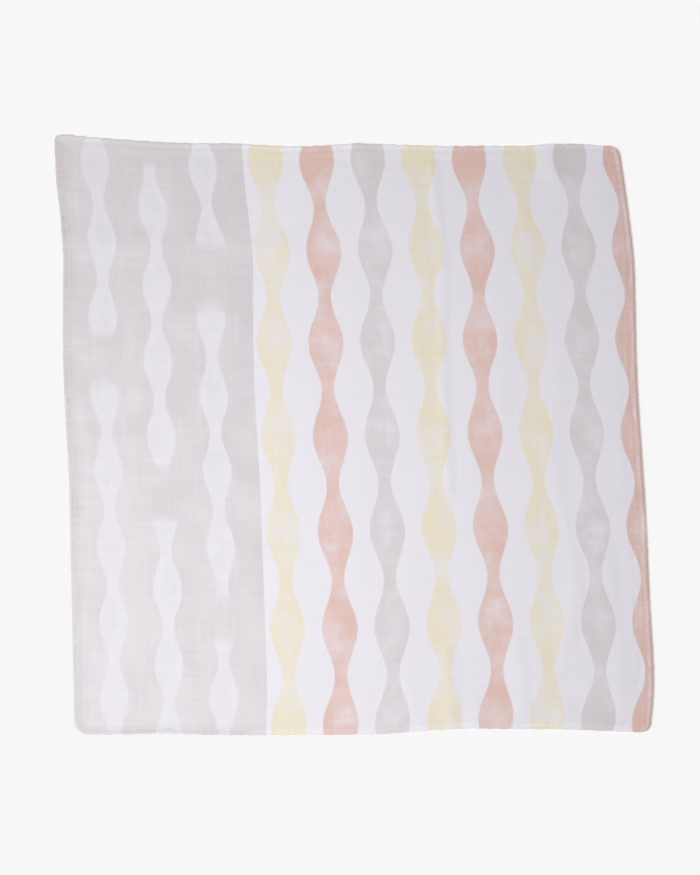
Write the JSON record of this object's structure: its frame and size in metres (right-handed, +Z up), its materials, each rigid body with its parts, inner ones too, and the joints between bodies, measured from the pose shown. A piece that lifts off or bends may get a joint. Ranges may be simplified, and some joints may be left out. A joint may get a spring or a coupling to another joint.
{
  "type": "handkerchief",
  "caption": "Square hemmed handkerchief of thin printed cotton gauze, spread flat with uneven edges, soft creases and a small bare label under one hem.",
  "frame": {"origin": "on the surface that the cloth lies on, under the middle of its outline", "axes": "+Z up out of the surface, +X to the right and +Y to the far edge, as the picture shows the cloth from above"},
  "size_m": [0.3544, 0.3552, 0.0026],
  "materials": {
    "printed_gauze": "thin plain-woven cotton, matt and slightly sheer, printed with soft pink, cream, warm grey and white",
    "label_tape": "close smooth white woven tape, bare"
  },
  "bodies": {
    "root": {"cloth": "printed_gauze", "label": "label_tape"}
  },
  "joints": []
}
